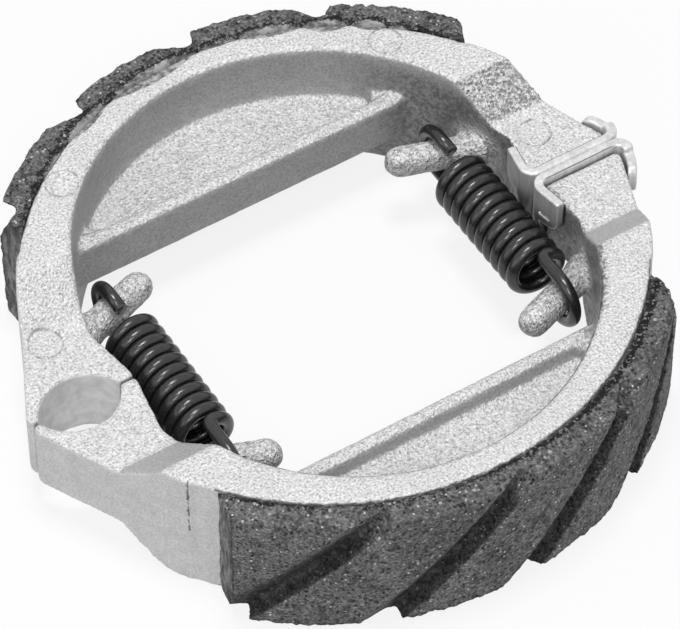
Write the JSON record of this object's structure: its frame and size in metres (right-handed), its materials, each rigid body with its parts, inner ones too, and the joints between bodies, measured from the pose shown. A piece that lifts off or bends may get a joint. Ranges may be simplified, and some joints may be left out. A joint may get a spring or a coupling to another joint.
{
  "type": "drum brake shoe set",
  "caption": "Pair of cast drum brake shoes with diagonally grooved linings, held together by hooked return springs, with folded wear plates at the cam ends.",
  "frame": {"origin": "drum axis at the plane on which the lower faces of both rims stand", "axes": "+Z along the drum axis to the open side of the drum, +X to the cam ends, +Y to shoe A, the split between the shoes on y = 0"},
  "size_m": [0.1085, 0.105, 0.025],
  "materials": {
    "cast_aluminium": "sand-cast skin, fine bright grain",
    "friction_lining": "ground friction compound with pale flecks",
    "plate_steel": "bright zinc-plated sheet steel",
    "spring_steel": "black, semi-gloss"
  },
  "bodies": {
    "shoe_b": {"shoe_casting_b": "cast_aluminium", "lining_b": "friction_lining", "wear_plate_b": "plate_steel", "return_spring_anchor_side": "spring_steel", "return_spring_cam_side": "spring_steel"},
    "shoe_a": {"shoe_casting_a": "cast_aluminium", "lining_a": "friction_lining", "wear_plate_a": "plate_steel"}
  },
  "joints": [
    {"name": "shoe_spread", "type": "hinge", "parent": "shoe_b", "child": "shoe_a", "pos_m": [-0.054, 0, 0.0125], "axis": [0, 0, 1], "range_deg": [0, 6], "stiffness_Nm_per_rad": 300, "springref_deg": -1.15, "deforming": ["return_spring_anchor_side", "return_spring_cam_side"]}
  ]
}
